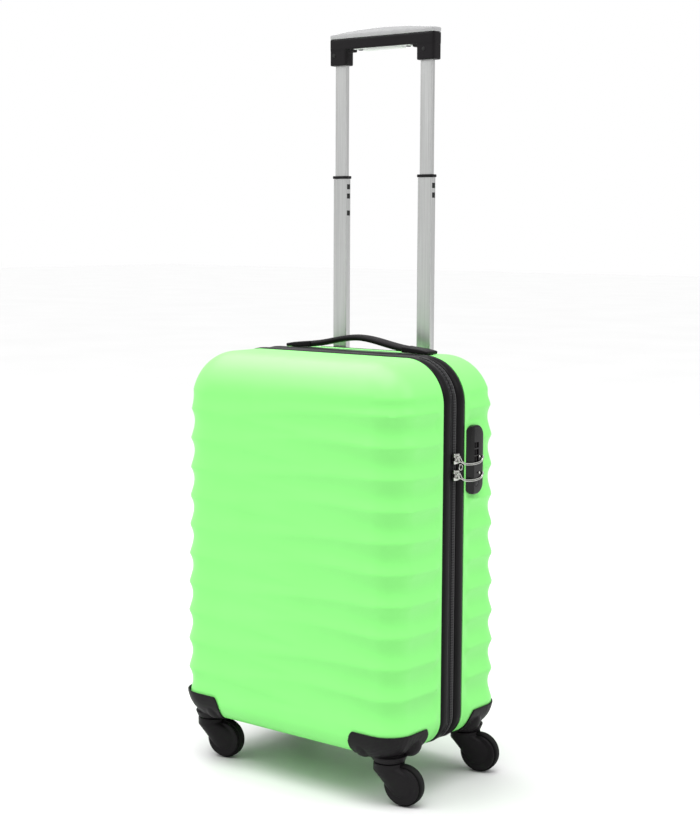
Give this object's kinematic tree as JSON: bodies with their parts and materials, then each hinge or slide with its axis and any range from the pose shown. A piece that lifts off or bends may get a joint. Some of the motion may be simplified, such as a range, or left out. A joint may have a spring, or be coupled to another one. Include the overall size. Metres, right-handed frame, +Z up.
{
  "type": "hard-shell cabin trolley case",
  "caption": "Ribbed hard-shell cabin case: two shells on a zip, swivel casters, two-stage telescopic handle, strap handle on top and a side combination lock.",
  "frame": {"origin": "on the floor, under the middle of the part's own bounding box", "axes": "+Z up, +X towards the side with the lock, -Y towards the front face"},
  "size_m": [0.3628, 0.2266, 0.9366],
  "materials": {
    "shell": "satin moulded ABS with a fine grain",
    "trim": "satin moulded black plastic",
    "trim_gloss": "gloss black plastic",
    "soft_black": "soft-touch moulded strap",
    "tyre": "matt black polyurethane",
    "tube": "satin anodised aluminium, drawn lengthwise",
    "silver_cap": "silver lacquered plastic",
    "zinc": "bright nickel-plated zinc",
    "steel": "plain steel pin",
    "webbing": "woven black polyester tape",
    "lining": "thin grey polyester lining"
  },
  "bodies": {
    "case": {"rear_shell": "shell", "rear_frame": "trim", "zip_tape_rear": "webbing", "hinge_strip_rear": "webbing", "rear_lining": "lining", "packing_strap_left": "webbing", "packing_strap_right": "webbing", "strap_buckle": "trim", "lock_body": "trim_gloss", "handle_tray": "trim", "handle_base": "trim", "handle_cover": "trim", "outer_tube_left": "tube", "outer_tube_right": "tube", "caster_housing_rear_left": "trim", "caster_housing_rear_right": "trim", "carry_handle": "soft_black", "carry_handle_end_left": "trim", "carry_handle_end_right": "trim"},
    "front_half": {"front_shell": "shell", "front_frame": "trim", "zip_tape_front": "webbing", "hinge_strip_front": "webbing", "front_lining": "lining", "divider_panel": "lining", "caster_housing_front_left": "trim", "caster_housing_front_right": "trim"},
    "middle_stage": {"middle_tube_left": "tube", "middle_tube_right": "tube", "middle_collar_left": "trim", "middle_collar_right": "trim"},
    "upper_stage": {"inner_tube_left": "tube", "inner_tube_right": "tube", "grip_body": "trim", "grip_cap": "silver_cap"},
    "grip_button": {"grip_button": "silver_cap"},
    "lock_button": {"lock_button": "trim_gloss"},
    "lock_dial_1": {"lock_dial_1": "trim_gloss"},
    "lock_dial_2": {"lock_dial_2": "trim_gloss"},
    "lock_dial_3": {"lock_dial_3": "trim_gloss"},
    "zip_slider_upper": {"zip_slider_upper": "zinc"},
    "zip_slider_lower": {"zip_slider_lower": "zinc"},
    "zip_pull_upper": {"zip_pull_upper": "zinc"},
    "zip_pull_lower": {"zip_pull_lower": "zinc"},
    "caster_front_left": {"caster_fork_front_left": "trim", "wheel_axle_front_left": "steel"},
    "wheel_front_left": {"wheel_tyre_front_left": "tyre", "wheel_hub_front_left": "trim"},
    "caster_front_right": {"caster_fork_front_right": "trim", "wheel_axle_front_right": "steel"},
    "wheel_front_right": {"wheel_tyre_front_right": "tyre", "wheel_hub_front_right": "trim"},
    "caster_rear_left": {"caster_fork_rear_left": "trim", "wheel_axle_rear_left": "steel"},
    "wheel_rear_left": {"wheel_tyre_rear_left": "tyre", "wheel_hub_rear_left": "trim"},
    "caster_rear_right": {"caster_fork_rear_right": "trim", "wheel_axle_rear_right": "steel"},
    "wheel_rear_right": {"wheel_tyre_rear_right": "tyre", "wheel_hub_rear_right": "trim"}
  },
  "joints": [
    {"name": "front_open", "type": "hinge", "parent": "case", "child": "front_half", "pos_m": [-0.18224, 0.006, 0.292], "axis": [0, 0, -1], "range_deg": [0, 180]},
    {"name": "middle_stage_slide", "type": "slide", "parent": "case", "child": "middle_stage", "axis": [0, 0, 1], "range_m": [-0.2575, 0]},
    {"name": "upper_stage_slide", "type": "slide", "parent": "middle_stage", "child": "upper_stage", "axis": [0, 0, 1], "range_m": [-0.14, 0]},
    {"name": "grip_button_press", "type": "slide", "parent": "upper_stage", "child": "grip_button", "axis": [0, 0, 1], "range_m": [0, 0.003], "stiffness_N_per_m": 200},
    {"name": "lock_button_press", "type": "slide", "parent": "case", "child": "lock_button", "axis": [-1, 0, 0], "range_m": [0, 0.0016], "stiffness_N_per_m": 15},
    {"name": "lock_dial_1_turn", "type": "hinge", "parent": "case", "child": "lock_dial_1", "pos_m": [0.16667, 0.04455, 0.4216], "axis": [0, 0, 1], "continuous": true},
    {"name": "lock_dial_2_turn", "type": "hinge", "parent": "case", "child": "lock_dial_2", "pos_m": [0.16667, 0.04455, 0.413], "axis": [0, 0, 1], "continuous": true},
    {"name": "lock_dial_3_turn", "type": "hinge", "parent": "case", "child": "lock_dial_3", "pos_m": [0.16667, 0.04455, 0.4044], "axis": [0, 0, 1], "continuous": true},
    {"name": "zip_slider_upper_run", "type": "slide", "parent": "case", "child": "zip_slider_upper", "axis": [0, 0, 1], "range_m": [0, 0.057]},
    {"name": "zip_pull_upper_swing", "type": "hinge", "parent": "zip_slider_upper", "child": "zip_pull_upper", "pos_m": [0.17231, 0.006, 0.4085], "axis": [0, 0, -1], "range_deg": [0, 170]},
    {"name": "zip_slider_lower_run", "type": "slide", "parent": "case", "child": "zip_slider_lower", "axis": [0, 0, 1], "range_m": [-0.285, 0]},
    {"name": "zip_pull_lower_swing", "type": "hinge", "parent": "zip_slider_lower", "child": "zip_pull_lower", "pos_m": [0.17231, 0.006, 0.3885], "axis": [0, 0, -1], "range_deg": [0, 170]},
    {"name": "swivel_front_left", "type": "hinge", "parent": "front_half", "child": "caster_front_left", "pos_m": [-0.15063, -0.08215, 0.0522], "axis": [0, 0, 1], "continuous": true},
    {"name": "roll_front_left", "type": "hinge", "parent": "caster_front_left", "child": "wheel_front_left", "pos_m": [-0.13109, -0.07789, 0.02479], "axis": [-0.213, 0.977, 0], "continuous": true},
    {"name": "swivel_front_right", "type": "hinge", "parent": "front_half", "child": "caster_front_right", "pos_m": [0.13636, -0.08215, 0.0522], "axis": [0, 0, 1], "continuous": true},
    {"name": "roll_front_right", "type": "hinge", "parent": "caster_front_right", "child": "wheel_front_right", "pos_m": [0.15591, -0.07789, 0.02479], "axis": [-0.213, 0.977, 0], "continuous": true},
    {"name": "swivel_rear_left", "type": "hinge", "parent": "case", "child": "caster_rear_left", "pos_m": [-0.15063, 0.07915, 0.0522], "axis": [0, 0, 1], "continuous": true},
    {"name": "roll_rear_left", "type": "hinge", "parent": "caster_rear_left", "child": "wheel_rear_left", "pos_m": [-0.13109, 0.08341, 0.02479], "axis": [-0.213, 0.977, 0], "continuous": true},
    {"name": "swivel_rear_right", "type": "hinge", "parent": "case", "child": "caster_rear_right", "pos_m": [0.13636, 0.07915, 0.0522], "axis": [0, 0, 1], "continuous": true},
    {"name": "roll_rear_right", "type": "hinge", "parent": "caster_rear_right", "child": "wheel_rear_right", "pos_m": [0.15591, 0.08341, 0.02479], "axis": [-0.213, 0.977, 0], "continuous": true}
  ]
}
